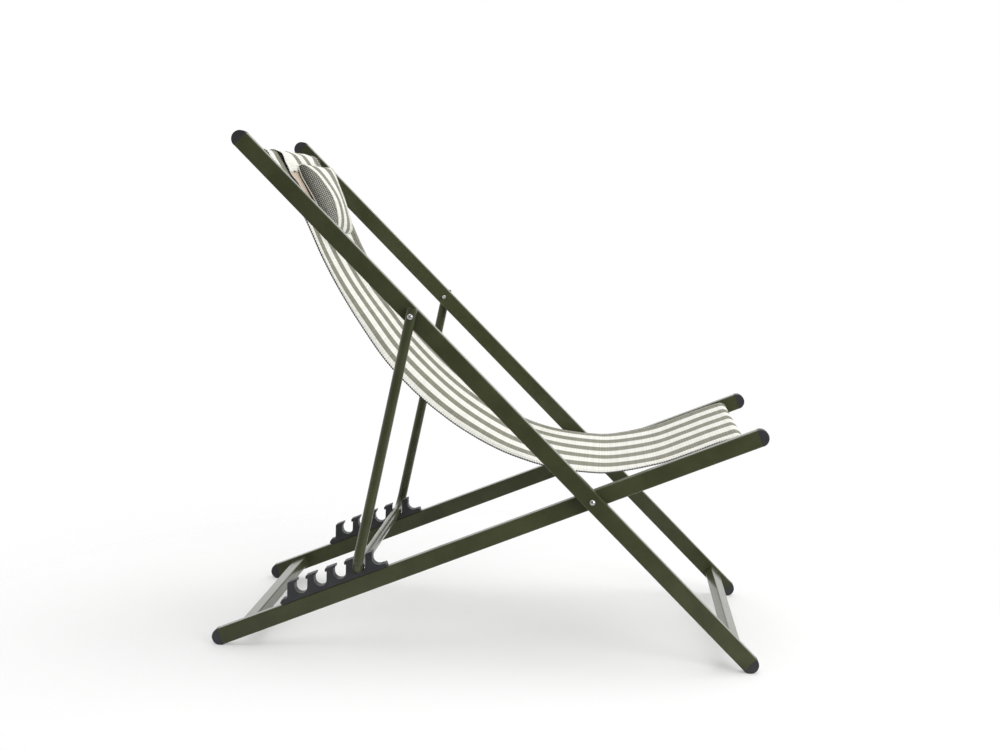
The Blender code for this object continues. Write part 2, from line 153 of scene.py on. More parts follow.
def tube(path, radius, sides=8, closed=False, flat=1.0, up=(0.0, 1.0, 0.0)):
    """A round or flattened bead that follows a 3-D path: its points and faces."""
    path = np.array(path, float)
    count = len(path)
    if closed:
        tangent = np.roll(path, -1, axis=0) - np.roll(path, 1, axis=0)
    else:
        tangent = np.gradient(path, axis=0)
    tangent /= np.linalg.norm(tangent, axis=1)[:, None]
    side = np.cross(tangent, np.array(up))
    side /= np.maximum(np.linalg.norm(side, axis=1), 1e-9)[:, None]
    other = np.cross(side, tangent)
    points, faces = [], []
    for centre, a, b in zip(path, side, other):
        for k in range(sides):
            angle = 2 * math.pi * k / sides
            points.append(centre + radius * (flat * math.cos(angle) * a + math.sin(angle) * b))
    for i in range(count if closed else count - 1):
        j = (i + 1) % count
        for k in range(sides):
            m = (k + 1) % sides
            faces.append([i * sides + k, i * sides + m, j * sides + m, j * sides + k])
    if not closed:
        faces.append(list(range(sides))[::-1])
        faces.append([(count - 1) * sides + k for k in range(sides)])
    return points, faces


def stitches(surface, start, end, pitch, length, radius):
    """Thread lying on cloth: one small bead for each stitch. surface(t) gives a point and a normal."""
    parts = []
    count = int((end - start) / pitch)
    for i in range(count):
        first = start + i * pitch
        path = []
        for k in range(5):
            u = k / 4
            point, normal = surface(first + u * length)
            path.append(point + normal * radius * (0.55 - 1.6 * (2 * u - 1) ** 4))
        parts.append(tube(path, radius, 6, up=normal))
    return parts


def overlock(surface, sign, half, start, end):
    """Dark thread sewn over one long edge of a cloth, two turns at a time, and along its rim."""
    parts = []
    reach, radius, pitch = 0.0032, 0.00055, 0.0044
    top = surface(sign * (half - reach), 1.0)
    edge = surface(sign * half)
    below = surface(sign * (half - reach), -1.0)
    outward = np.array([0.0, sign, 0.0])
    for i in range(int((end - start) / pitch)):
        for first in (start + i * pitch, start + i * pitch + 0.0012):
            a, up = top(first)
            b, down = below(first + 0.0009)
            rim = edge(first + 0.0004)[0] - up * 0.0003
            path = [a - up * 0.0004, a + up * 0.0004 + outward * 0.0004, (a + rim) / 2 + up * 0.0007,
                    rim + outward * 0.0004, (b + rim) / 2 + down * 0.0007,
                    b + down * 0.0004, b - down * 0.0004]
            parts.append(tube(path, radius, 5, up=(0.577, 0.0, 0.816)))
    count = int((end - start) / 0.004)
    rim = [edge(start + (end - start) * k / count)[0] + outward * 0.0002 for k in range(count + 1)]
    parts.append(tube(rim, 0.0007, 6))
    return parts


# ---------------------------------------------------------------- materials
class Graph:
    """One material's nodes. Inputs are numbers, colours or other nodes' outputs."""

    def __init__(self, name, **surface):
        self.material = bpy.data.materials.new(name)
        self.material.use_nodes = True
        self.tree = self.material.node_tree
        self.shader = self.tree.nodes["Principled BSDF"]
        for key, value in surface.items():
            self.shader.inputs[key.replace("_", " ")].default_value = value

    def add(self, kind, values=(), out=0, **settings):
        node = self.tree.nodes.new("ShaderNode" + kind)
        for key, value in settings.items():
            setattr(node, key, value)
        for key, value in dict(values).items():
            self.put(value, node.inputs[key])
        return node.outputs[out]

    def put(self, value, socket):
        if isinstance(value, bpy.types.NodeSocket):
            self.tree.links.new(value, socket)
        else:
            socket.default_value = value

    def math(self, operation, *values):
        return self.add("Math", dict(enumerate(values)), operation=operation)

    def span(self, value, low, high, to_low=0.0, to_high=1.0):
        """value from low to high, turned smoothly into to_low to to_high."""
        values = {0: value, 1: low, 2: high, 3: to_low, 4: to_high}
        return self.add("MapRange", values, interpolation_type="SMOOTHSTEP")

    def noise(self, vector, scale, detail=2.0, roughness=0.5):
        values = {"Vector": vector, "Scale": scale, "Detail": detail, "Roughness": roughness}
        return self.add("TexNoise", values)

    def mix(self, factor, a, b, blend="MIX"):
        values = {0: factor, 6: a, 7: b}
        return self.add("Mix", values, out=2, data_type="RGBA", blend_type=blend)

    def parts(self, name="cloth"):
        vector = self.add("Attribute", out=1, attribute_name=name, attribute_type="GEOMETRY")
        split = self.tree.nodes.new("ShaderNodeSeparateXYZ")
        self.tree.links.new(vector, split.inputs[0])
        return vector, split.outputs[0], split.outputs[1], split.outputs[2]

    def position(self):
        return self.add("TexCoord", out=3)

    def bump(self, height, distance, strength=1.0, normal=None):
        values = {"Height": height, "Distance": distance, "Strength": strength}
        if normal is not None:
            values["Normal"] = normal
        return self.add("Bump", values)

    def connect(self, **sockets):
        for key, value in sockets.items():
            self.put(value, self.shader.inputs[key.replace("_", " ")])
        return self.material


def weave(graph, across, along, warp, weft):
    """A plain weave of round threads: its height, and the two thread numbers."""
    u = graph.math("DIVIDE", across, warp)
    v = graph.math("DIVIDE", along, weft)
    column = graph.math("FLOOR", u)
    row = graph.math("FLOOR", v)
    heights = []
    for own, other_row, other in ((u, column, v), (v, row, u)):
        offset = graph.math("SUBTRACT", graph.math("FRACT", own), 0.5)
        profile = graph.math("SUBTRACT", 1.0, graph.math("MULTIPLY", graph.math("POWER", offset, 2.0), 3.4))
        turn = graph.math("COSINE", graph.math("MULTIPLY", graph.math("ADD", other, other_row), math.pi))
        heights.append((profile, turn))
    (warp_profile, warp_turn), (weft_profile, weft_turn) = heights
    warp_height = graph.math("MULTIPLY", warp_profile, graph.math("MULTIPLY_ADD", warp_turn, 0.25, 0.75))
    weft_height = graph.math("MULTIPLY", weft_profile, graph.math("MULTIPLY_ADD", weft_turn, -0.25, 0.75))
    return graph.math("MAXIMUM", warp_height, weft_height), column, row


def striped_cloth(name, middle, cream, olive, duty=0.47, plain_from=1.0):
    """Coated sling mesh: coarse plain weave in cream, with olive stripes along its length.
    One stripe or gap is centred on middle, and there are no stripes beyond plain_from."""
    graph = Graph(name, Roughness=0.62, Specular_IOR_Level=0.35, Sheen_Weight=0.25, Sheen_Roughness=0.5)
    vector, across, along, _ = graph.parts()
    height, column, row = weave(graph, across, along, 0.0021, 0.0026)
    lane = graph.math("DIVIDE", graph.math("SUBTRACT", across, middle), STRIPE_PERIOD)
    distance = graph.math("PINGPONG", lane, 0.5)
    stripe = graph.span(distance, duty / 2 - 0.012, duty / 2 + 0.012, 1.0, 0.0)
    inside = graph.math("LESS_THAN", graph.math("ABSOLUTE", across), plain_from)
    stripe = graph.math("MULTIPLY", stripe, inside)
    warp_tone = graph.add("TexWhiteNoise", {"W": column}, noise_dimensions="1D")
    weft_tone = graph.add("TexWhiteNoise", {"W": row}, noise_dimensions="1D")
    rib = graph.math("SINE", graph.math("MULTIPLY", along, 2 * math.pi / 0.0052))
    tone = graph.math("MULTIPLY_ADD", warp_tone, 0.5, graph.math("MULTIPLY", weft_tone, 0.5))
    tone = graph.math("MULTIPLY_ADD", rib, 0.22, tone)
    slub = graph.noise(vector, 160.0, 3.0)
    tone = graph.math("MULTIPLY_ADD", slub, 0.5, graph.math("SUBTRACT", tone, 0.25))
    dark = graph.mix(graph.span(tone, 0.1, 0.95), linear(olive[0]), linear(olive[1]))
    pale = graph.mix(graph.span(tone, 0.1, 0.95), linear(cream[0]), linear(cream[1]))
    colour = graph.mix(stripe, pale, dark)
    soil = graph.noise(vector, 9.0, 4.0, 0.6)
    colour = graph.mix(graph.span(soil, 0.45, 0.8, 0.0, 0.10), colour, linear("8d8672"))
    shade = graph.span(height, 0.2, 0.9, 0.84, 1.0)
    colour = graph.mix(1.0, colour, graph.add("CombineColor", {0: shade, 1: shade, 2: shade}), "MULTIPLY")
    roughness = graph.math("MULTIPLY_ADD", slub, 0.2, 0.5)
    return graph.connect(Base_Color=colour, Roughness=roughness, Normal=graph.bump(height, 0.0005, 0.9))


def edge_mask(graph, radius, sharp=0.93):
    """1 along a part's sharp edges, 0 on its faces."""
    soft = graph.add("Bevel", {"Radius": radius}, samples=4)
    hard = graph.add("NewGeometry", out=1)
    facing = graph.add("VectorMath", {0: soft, 1: hard}, out=1, operation="DOT_PRODUCT")
    return graph.span(facing, sharp - 0.08, 0.995, 1.0, 0.0)


def frame_paint():
    """Satin powder coat on steel: fine orange peel, dust, and paler edges, partly rubbed wear and partly a
    painted highlight.
    """
    graph = Graph("frame_paint", Specular_IOR_Level=0.1, Coat_Weight=0.5, Coat_Roughness=0.16)
    place = graph.position()
    peel = graph.noise(place, 900.0, 2.0, 0.6)
    speckle = graph.noise(place, 2600.0, 1.0)
    patch = graph.noise(place, 14.0, 4.0, 0.65)
    colour = graph.mix(graph.span(patch, 0.3, 0.75), linear("3e4229"), linear("4a4e32"))
    colour = graph.mix(graph.span(speckle, 0.55, 0.8, 0.0, 0.3), colour, linear("585b40"))
    worn = graph.span(graph.noise(place, 55.0, 4.0, 0.7), 0.45, 0.7)
    # paler patches along the edges: rubbed wear, and also a painted highlight standing in for the bright edge
    # reflections
    pale_edges = graph.math("MULTIPLY", edge_mask(graph, 0.0012), worn)
    colour = graph.mix(graph.math("MULTIPLY", pale_edges, 0.5), colour, linear("8b8c80"))
    roughness = graph.math("MULTIPLY_ADD", patch, 0.18, graph.math("MULTIPLY_ADD", pale_edges, -0.12, 0.3))
    height = graph.math("ADD", peel, graph.math("MULTIPLY", speckle, 0.4))
    return graph.connect(Base_Color=colour, Roughness=roughness, Normal=graph.bump(height, 0.00006, 0.6))


def moulded_plastic(name, base, pale, grain=1500.0):
    """Grained moulded plastic with slightly shiny worn edges."""
    graph = Graph(name, Specular_IOR_Level=0.5)
    place = graph.position()
    cells = graph.add("TexVoronoi", {"Vector": place, "Scale": grain}, feature="SMOOTH_F1")
    patch = graph.noise(place, 30.0, 4.0, 0.6)
    colour = graph.mix(graph.span(patch, 0.3, 0.75), linear(base), linear(pale))
    worn = graph.span(graph.noise(place, 90.0, 3.0), 0.4, 0.7)
    pale_edges = graph.math("MULTIPLY", edge_mask(graph, 0.001), worn)
    colour = graph.mix(graph.math("MULTIPLY", pale_edges, 0.35), colour, linear("85868a"))
    roughness = graph.math("MULTIPLY_ADD", patch, 0.2, graph.math("MULTIPLY_ADD", pale_edges, -0.15, 0.45))
    return graph.connect(Base_Color=colour, Roughness=roughness, Normal=graph.bump(cells, 0.00008, 0.5))


def polished_steel(name, colour, roughness):
    """Turned and plated steel: fine round scratches and faint staining."""
    graph = Graph(name, Metallic=1.0)
    place = graph.position()
    stretched = graph.add("Mapping", {"Vector": place, "Scale": (1.0, 30.0, 1.0)})
    scratch = graph.noise(stretched, 320.0, 3.0, 0.7)
    stain = graph.noise(place, 120.0, 3.0)
    tint = graph.mix(graph.span(stain, 0.4, 0.8, 0.0, 0.4), linear(colour), linear("8f8a80"))
    rough = graph.math("MULTIPLY_ADD", scratch, 0.16, roughness)
    return graph.connect(Base_Color=tint, Roughness=rough, Normal=graph.bump(scratch, 0.00003, 0.5))


def spacer_mesh():
    """The pillow's knitted end panels: dark net with pale filling showing through its holes, both with painted
    shading, darker towards the rear and lighter towards the front.
    """
    graph = Graph("pillow_mesh", Specular_IOR_Level=0.3, Sheen_Weight=0.3)
    _, across, along, depth = graph.parts("panel")
    u = graph.math("MULTIPLY", graph.math("ADD", across, along), math.pi / 0.0034)
    v = graph.math("MULTIPLY", graph.math("SUBTRACT", across, along), math.pi / 0.0034)
    cells = graph.math("MULTIPLY", graph.math("SINE", u), graph.math("SINE", v))
    hole = graph.span(cells, 0.05, 0.5)
    # painted shading: net and filling are made darker towards the rear and lighter towards the front, as if
    # the panel turned to the light
    painted_shading = graph.span(depth, -0.016, 0.015)
    net = graph.mix(painted_shading, linear("0f1211"), linear("7d807a"))
    under = graph.mix(painted_shading, linear("787c76"), linear("eceae2"))
    colour = graph.mix(hole, net, under)
    blotch = graph.noise(graph.position(), 130.0, 3.0)
    colour = graph.mix(graph.span(blotch, 0.5, 0.7, 0.0, 0.25), colour, linear("1d201f"))
    return graph.connect(Base_Color=colour, Roughness=0.75, Normal=graph.bump(cells, 0.0007, 0.8))


def thread(name, dark, pale, twist=900.0):
    """Twisted sewing thread or woven binding tape."""
    graph = Graph(name, Specular_IOR_Level=0.35, Sheen_Weight=0.3)
    place = graph.position()
    strand = graph.noise(place, twist, 3.0, 0.6)
    colour = graph.mix(graph.span(strand, 0.35, 0.7), linear(dark), linear(pale))
    return graph.connect(Base_Color=colour, Roughness=0.7, Normal=graph.bump(strand, 0.0002, 0.7))


PAINT = frame_paint()
PLASTIC = moulded_plastic("dark_plastic", "2c2c30", "38393c")
NYLON = moulded_plastic("nylon", "1c1d1e", "2a2b2c", 700.0)
STEEL = polished_steel("bolt_steel", "cfd0d0", 0.12)
CREAM = ("ecebe0", "fbfaf3")
OLIVE = ("5b5a3f", "78765a")
SLING = striped_cloth("sling_fabric", 0.0205, CREAM, OLIVE)
STRAP = striped_cloth("strap_fabric", 0.0465, CREAM, OLIVE, plain_from=0.09)
PILLOW = striped_cloth("pillow_fabric", 0.0505, CREAM, OLIVE)
MESH_PANEL = spacer_mesh()
DARK_THREAD = thread("dark_thread", "1f1f20", "3a3a3c")
PALE_THREAD = thread("pale_thread", "cfcdc0", "efeee4")
BINDING = thread("binding_tape", "1b1b1d", "303033", 1400.0)
# tan backing colour: painted warm shade, standing for cream cloth in the shade of the pillow
BACKING_SHADE = thread("backing_canvas", "b9a48f", "dccbb8", 700.0)

SLOT_LOOKS = {"frame_paint": PAINT, "dark_plastic": PLASTIC, "bolt_steel": STEEL, "nylon": NYLON,
              "sling_fabric": SLING, "pillow_fabric": PILLOW}


def paint_nodes():
    """Gives every CAD node its finished material, by the name of the slot it has."""
    for name, node in NODES.items():
        for slot in node.material_slots:
            key = next((k for k in SLOT_LOOKS if slot.material and slot.material.name.startswith(k)), None)
            if key is None:
                raise RuntimeError(f"{name} has an unknown material {slot.material}")
            slot.material = SLOT_LOOKS[key]


# ---------------------------------------------------------------- cloth
def tangent_angle(centre, radius, outside, turn):
    """The angle on a circle where a line from an outside point touches it."""
    dx, dz = outside[0] - centre[0], outside[1] - centre[1]
    return math.degrees(math.atan2(dz, dx) + turn * math.acos(radius / math.hypot(dx, dz)))


def sling_path():
    """The sling from the flap sewn behind the head sleeve to the flap under the front sleeve."""
    hang = [(-0.3617, 0.8080), (-0.3339, 0.7562), (-0.3034, 0.6922), (-0.2694, 0.6335),
            (-0.2291, 0.5765), (-0.1840, 0.5192), (-0.1263, 0.4629)]
    seat = [(-0.0670, 0.4162), (0.0021, 0.3754), (0.0558, 0.3534), (0.1113, 0.3399), (0.1758, 0.3336),
            (0.2230, 0.3350), (0.2941, 0.3495), (0.3497, 0.3710), (0.3887, 0.3875)]
    leave = arc(HEAD_TUBE, SLEEVE_RADIUS, LEAVE_DEG, LEAVE_DEG, 1)[0]
    arrive = arc(FRONT_TUBE, SLEEVE_RADIUS, ARRIVE_DEG, ARRIVE_DEG, 1)[0]
    middle = smooth_path([leave] + hang + seat + [arrive], 10)
    _, points, normals = resample(middle, SHEET_STEP)
    behind = points - normals * FLAP_OFFSET
    first = round(FLAP_LENGTH / SHEET_STEP)
    head_turn = tangent_angle(HEAD_TUBE, SLEEVE_RADIUS, behind[FLAP_SKIP], -1.0) % 360
    front_turn = tangent_angle(FRONT_TUBE, SLEEVE_RADIUS, behind[-1 - FLAP_SKIP], 1.0) % 360 - 360
    head = arc(HEAD_TUBE, SLEEVE_RADIUS, head_turn, LEAVE_DEG, 20)
    front = arc(FRONT_TUBE, SLEEVE_RADIUS, ARRIVE_DEG, front_turn, 20)
    flap_up = [tuple(p) for p in behind[FLAP_SKIP:first + 1][::-1]]
    flap_down = [tuple(p) for p in behind[-1 - first:len(behind) - FLAP_SKIP]][::-1]
    return flap_up + head + [tuple(p) for p in middle[1:-1]] + front + flap_down


def cloth_sheet(name, path, half, thick, step, columns, material, shape, hem=HEM_WIDTH, hem_extra=0.0):
    """A sheet of cloth along a path in the XZ plane, with folded hems on both long edges."""
    s, centre, normal = resample(path, step)
    y = np.linspace(-half, half, columns)
    edge = half - np.abs(y)
    extra = hem_extra * (1 - smoothstep(hem - 0.002, hem + 0.001, edge))
    round_edge = np.sqrt(np.clip(edge / (thick + hem_extra), 0.0, 1.0))
    half_thick = (thick + extra) / 2 * np.maximum(round_edge, 0.25)
    lift = shape(s[:, None], y[None, :], s[-1])
    points, cloth = [], []
    for side in (1.0, -1.0):
        offset = lift + side * half_thick[None, :]
        x = centre[:, 0:1] + normal[:, 0:1] * offset
        z = centre[:, 1:2] + normal[:, 1:2] * offset
        points.append(np.stack([x, np.broadcast_to(y, x.shape), z], -1).reshape(-1, 3))
        flat = np.broadcast_to(y, x.shape), np.broadcast_to(s[:, None], x.shape), np.full(x.shape, side)
        cloth.append(np.stack(flat, -1).reshape(-1, 3))
    rows = len(s)
    below = rows * columns
    faces = []
    for i in range(rows - 1):
        for j in range(columns - 1):
            a, b = i * columns + j, (i + 1) * columns + j
            faces.append([a, a + 1, b + 1, b])
            faces.append([below + a, below + b, below + b + 1, below + a + 1])
    rim = [i * columns for i in range(rows)]
    rim += [(rows - 1) * columns + j for j in range(1, columns)]
    rim += [i * columns + columns - 1 for i in range(rows - 2, -1, -1)]
    rim += [j for j in range(columns - 2, 0, -1)]
    for a, b in zip(rim, rim[1:] + rim[:1]):
        faces.append([a, b, below + b, below + a])
    item = add_mesh(name, np.concatenate(points), faces, material)
    store(item, np.concatenate(cloth))

    def surface(y_at, side=1.0):
        """The point and normal on one face of the cloth, at a width y, by distance along the path."""
        half_at = float(np.interp(abs(y_at), y[columns // 2:], half_thick[columns // 2:]))

        def at(distance):
            d = min(max(distance, 0.0), s[-1])
            n = np.array([np.interp(d, s, normal[:, 0]), np.interp(d, s, normal[:, 1])])
            n /= np.linalg.norm(n)
            rise = float(shape(np.array([[d]]), np.array([[y_at]]), s[-1])[0, 0]) + side * half_at
            point = np.array([np.interp(d, s, centre[:, 0]), np.interp(d, s, centre[:, 1])]) + n * rise
            return np.array([point[0], y_at, point[1]]), side * np.array([n[0], 0.0, n[1]])

        return at

    def across(distance, side=1.0):
        """The same, across the cloth at one distance along it, by y."""
        return lambda y_at: surface(y_at, side)(distance)

    return item, s[-1], surface, across


def sling_shape(s, y, length):
    """How far the sling lies off its path: hollowed behind the pillow, bowed below it, lifted towards
    +Y, and with its hems curled."""
    crown = 0.6 - (y / SLING_HALF) ** 2
    middle = np.interp(s, [0.08, 0.22, 0.30, 0.40, 0.50, 0.62, 0.76, 0.90, 1.02, 1.14],
                       [0.0, -0.0050, -0.0030, 0.0, 0.0018, 0.0020, 0.0012, 0.0006, -0.0012, 0.0])
    far_side = np.interp(s, [0.34, 0.44, 0.52, 0.66, 0.80], [0.0, 0.0030, 0.0030, 0.0022, 0.0])
    tilt = np.interp(s, [0.38, 0.46, 0.52, 0.60, 0.67, 0.75, 0.80],
                     [0.0, 0.0018, 0.0035, 0.0035, 0.0030, 0.001, 0.0])
    hem = np.interp(s, [0.12, 0.25, 0.35, 0.44, 0.58, 0.64, 0.72, 0.94, 1.03, 1.15, 1.18],
                    [0.0, 0.0018, 0.0018, 0.0003, -0.0010, 0.0, -0.0016, -0.0022, 0.0006, 0.0012, 0.0])
    free = smoothstep(0.08, 0.16, s) * (1 - smoothstep(length - 0.16, length - 0.08, s))
    near_tubes = np.exp(-((s - 0.10) / 0.03) ** 2) + np.exp(-((s - (length - 0.10)) / 0.03) ** 2)
    gather = 0.0004 * near_tubes * np.sin(y * 118.0 + 0.8 * np.sin(y * 31.0))
    wave = 0.0005 * free * np.sin(y * 23.0 + s * 9.0) * np.sin(s * 17.0 + 1.3)
    lift = far_side * (y + SLING_HALF) / (2 * SLING_HALF) + tilt * y / SLING_HALF
    curl = hem * smoothstep(SLING_HALF - 0.026, SLING_HALF, np.abs(y))
    return middle * crown + lift + gather + wave + curl


def build_sling():
    """The one-piece sling with its hems and all its stitching."""
    sling, length, surface, across = cloth_sheet(
        "sling", sling_path(), SLING_HALF, SLING_THICK, SHEET_STEP, 117, SLING, sling_shape,
        hem_extra=0.0007)
    dark, pale = [], []
    for sign in (-1.0, 1.0):
        dark += overlock(surface, sign, SLING_HALF, 0.003, length - 0.003)
        for side in (1.0, -1.0):
            pale += stitches(surface(sign * (SLING_HALF - 0.0135), side), 0.004, length - 0.004,
                             0.0042, 0.0034, 0.00045)
    for distance in (0.003, 0.009, length - 0.009, length - 0.003):
        pale += stitches(across(distance, -1.0), -SLING_HALF + 0.004, SLING_HALF - 0.004,
                         0.0042, 0.0034, 0.00045)
    dark_piece = join_parts("sling_hem_stitches", dark, DARK_THREAD)
    pale_piece = join_parts("sling_seam_stitches", pale, PALE_THREAD)
    for piece in (sling, dark_piece, pale_piece):
        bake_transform(piece)
    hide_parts("sling_back", "sling_middle", "sling_seat")


def build_strap():
    """The headrest's band, bound with dark tape, over the head sleeve, and a backing sheet coloured tan as
    painted warm shade on cream cloth.
    """
    wrap = arc(HEAD_TUBE, STRAP_RADIUS, 160, 72, 12)
    drop = [(-0.3897, 0.8697), (-0.3790, 0.8565), (-0.3728, 0.8450), (-0.3703, 0.8385)]
    path = [tuple(p) for p in wrap] + [tuple(p) for p in smooth_path([wrap[-1]] + drop, 8)[1:]]
    back_path = smooth_path([(-0.3722, 0.8424), (-0.3698, 0.8350), (-0.3650, 0.8255), (-0.3598, 0.8165),
                             (-0.3560, 0.8098), (-0.3430, 0.7860), (-0.3330, 0.7670)], 6)

    def shape(s, y, length):
        """The band is pushed out by the pillow and lies back towards the sling beside it."""
        beside = -BAND_BACK * smoothstep(0.095, 0.135, np.abs(y)) * smoothstep(0.030, 0.055, s)
        return beside + 0.0003 * np.sin(y * 61.0 + 1.0) * smoothstep(0.03, 0.05, s)

    def back_shape(s, y, length):
        """The backing hangs flat, apart from its top corners, which lie back with the band."""
        beside = -BAND_BACK * smoothstep(0.095, 0.135, np.abs(y)) * (1 - smoothstep(0.0, 0.030, s))
        return beside + 0.0003 * np.sin(y * 48.0)

    strap, length, surface, across = cloth_sheet(
        "headrest_band", path, STRAP_HALF, STRAP_THICK, 0.003, 69, STRAP, shape, hem=0.0)
    # the backing sheet takes the tan colour of painted warm shade
    backing, back_length, back_surface, _ = cloth_sheet(
        "headrest_backing", back_path, STRAP_HALF - 0.0015, 0.0009, SHEET_STEP, 53, BACKING_SHADE, back_shape,
        hem=0.0)
    tape, stitched = [], []
    for sign in (-1.0, 1.0):
        for middle, extent, thick, half in ((surface, length, STRAP_THICK, STRAP_HALF - 0.0012),
                                            (back_surface, back_length, 0.0009, STRAP_HALF - 0.0027)):
            rail = middle(sign * half)
            line = []
            for k in range(61):
                point, normal = rail(extent * k / 60)
                line.append(point - normal * thick / 2)
            tape.append(tube(line, 0.0017, 10, flat=0.6))
        stitched += stitches(surface(sign * (STRAP_HALF - 0.0060)), 0.004, length - 0.004,
                             0.0040, 0.0031, 0.0004)
        corner, normal = surface(sign * 0.116)(length - 0.001)
        bar = [corner + normal * 0.0004 + np.array([0.0, d, 0.0])
               for d in (-0.004, -0.002, 0.0, 0.002, 0.004)]
        tape.append(tube(bar, 0.0011, 8, up=(1.0, 0.0, 0.0)))
    for distance in (0.004, length - 0.003):
        stitched += stitches(across(distance), -STRAP_HALF + 0.006, STRAP_HALF - 0.006,
                             0.0040, 0.0031, 0.0004)
    tape_piece = join_parts("band_edge_tape", tape, BINDING)
    thread_piece = join_parts("band_stitches", stitched, PALE_THREAD)
    for piece in (strap, backing, tape_piece, thread_piece):
        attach(piece, "headrest")
    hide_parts("headrest_strap")


def evaluated_mesh(item):
    graph = bpy.context.evaluated_depsgraph_get()
    return bpy.data.meshes.new_from_object(item.evaluated_get(graph))


def even_chain(points, count):
    """A smooth path through some points, cut into count equal lengths."""
    path = np.array(smooth_path(points, 8))
    along = distances(path)
    d = np.linspace(0.0, along[-1], count + 1)
    return np.c_[np.interp(d, along, path[:, 0]), np.interp(d, along, path[:, 1])]


def pillow_chains():
    """The pillow's front and rear outlines at its -Y end, and the flatter front outline at its +Y end."""
    front = [(-0.3690, 0.8490), (-0.3650, 0.8520), (-0.3600, 0.8522), (-0.3548, 0.8502), (-0.3474, 0.8455),
             (-0.3341, 0.8351), (-0.3207, 0.8183), (-0.3072, 0.7992), (-0.2984, 0.7757), (-0.2945, 0.7542),
             (-0.2950, 0.7420), (-0.3000, 0.7290), (-0.3080, 0.7240)]
    rear = [(-0.3690, 0.8490), (-0.3660, 0.8380), (-0.3612, 0.8270), (-0.3538, 0.8152), (-0.3400, 0.7920),
            (-0.3285, 0.7700), (-0.3205, 0.7480), (-0.3145, 0.7330), (-0.3080, 0.7240)]
    far_front = [(-0.3690, 0.8490), (-0.3600, 0.8500), (-0.3440, 0.8493), (-0.3390, 0.8440),
                 (-0.3330, 0.8290), (-0.3270, 0.8140), (-0.3190, 0.7950), (-0.3120, 0.7746),
                 (-0.3050, 0.7518), (-0.3015, 0.7390), (-0.3025, 0.7290), (-0.3080, 0.7240)]
    return (even_chain(c, PILLOW_STEPS) for c in (front, rear, far_front))


def fill_pillow(item, seams, rear_side):
    """Fills the sewn cover with air as cloth: its seams stay, and no point moves past PUFF_FRONT."""
    mesh = item.data
    rest = np.empty(len(mesh.vertices) * 3)
    mesh.vertices.foreach_get("co", rest)
    rest = rest.reshape(-1, 3)
    pins = item.vertex_groups.new(name="seams")
    pins.add(seams, 1.0, "REPLACE")
    cloth = item.modifiers.new("cloth", "CLOTH")
    cloth.settings.use_pressure = True
    cloth.settings.uniform_pressure_force = 5.0
    cloth.settings.effector_weights.gravity = 0.0
    cloth.settings.vertex_group_mass = "seams"
    cloth.settings.quality = 6
    cloth.point_cache.frame_start = 1
    cloth.point_cache.frame_end = 20
    for number in range(1, 21):
        bpy.context.scene.frame_set(number)
    moved = np.empty(len(rest) * 3)
    evaluated_mesh(item).vertices.foreach_get("co", moved)
    item.modifiers.clear()
    item.vertex_groups.clear()
    bpy.context.scene.frame_set(1)
    shift = moved.reshape(-1, 3) - rest
    size = np.linalg.norm(shift, axis=1)
    limit = np.where(rear_side, PUFF_REAR, PUFF_FRONT)
    return rest + shift * (limit * np.tanh(size / limit) / np.maximum(size, 1e-9))[:, None]


def pillow_cover(rows, columns):
    """The unfilled cover: its rings of points, all its points, its faces, and the first end panel face."""
    front, rear, far_front = pillow_chains()
    n = PILLOW_STEPS
    count = 2 * n
    widths = np.linspace(-PILLOW_HALF, PILLOW_HALF, rows + 1)
    rings = []
    for y in widths:
        far = float(smoothstep(-PILLOW_HALF, PILLOW_HALF, y))
        ring = np.r_[front * (1 - far) + far_front * far, rear[-2:0:-1]]
        rings.append(np.c_[ring[:, 0], np.full(count, y), ring[:, 1]])
    rings = np.array(rings)
    points, faces = list(rings.reshape(-1, 3)), []
    for i in range(rows):
        for k in range(count):
            m = (k + 1) % count
            faces.append([i * count + k, i * count + m, (i + 1) * count + m, (i + 1) * count + k])
    panel_start = len(faces)
    for row, flip in ((0, True), (rows, False)):
        ladder = []
        for k in range(1, n):
            a, b = row * count + k, row * count + count - k
            rung = [a]
            for j in range(1, columns):
                points.append(rings[row, k] + (rings[row, count - k] - rings[row, k]) * j / columns)
                rung.append(len(points) - 1)
            ladder.append(rung + [b])
        cells = []
        for one, two in zip(ladder, ladder[1:]):
            cells += [[one[j], one[j + 1], two[j + 1], two[j]] for j in range(columns)]
        for tip, rung in ((row * count, ladder[0]), (row * count + n, ladder[-1][::-1])):
            cells += [[tip, rung[j + 1], rung[j]] for j in range(columns)]
        faces += [cell if flip else cell[::-1] for cell in cells]
    return rings, points, faces, panel_start


def trim_pillow(grid, rows):
    """Piping round both end seams of the filled pillow, and a row of stitches beside each."""
    piping, sewn = [], []
    for row, inner in ((0, 1.4), (rows, rows - 1.4)):
        piping.append(tube(grid[row], 0.0010, 8, closed=True))
        low = int(inner)
        seam = grid[low] + (grid[low + 1] - grid[low]) * (inner - low)
        seam = np.r_[seam, seam[:1]]
        far = np.r_[0.0, np.cumsum(np.linalg.norm(np.diff(seam, axis=0), axis=1))]
        hub = seam.mean(axis=0)

        def surface(distance, seam=seam, far=far, hub=hub):
            point = np.array([np.interp(distance, far, seam[:, k]) for k in range(3)])
            out = point - hub
            out[1] = 0.0
            return point, out / np.linalg.norm(out)

        sewn += stitches(surface, 0.0, far[-1] - 0.004, 0.0036, 0.0028, 0.0004)
    return join_parts("pillow_piping", piping, PALE_THREAD), join_parts("pillow_stitches", sewn, PALE_THREAD)


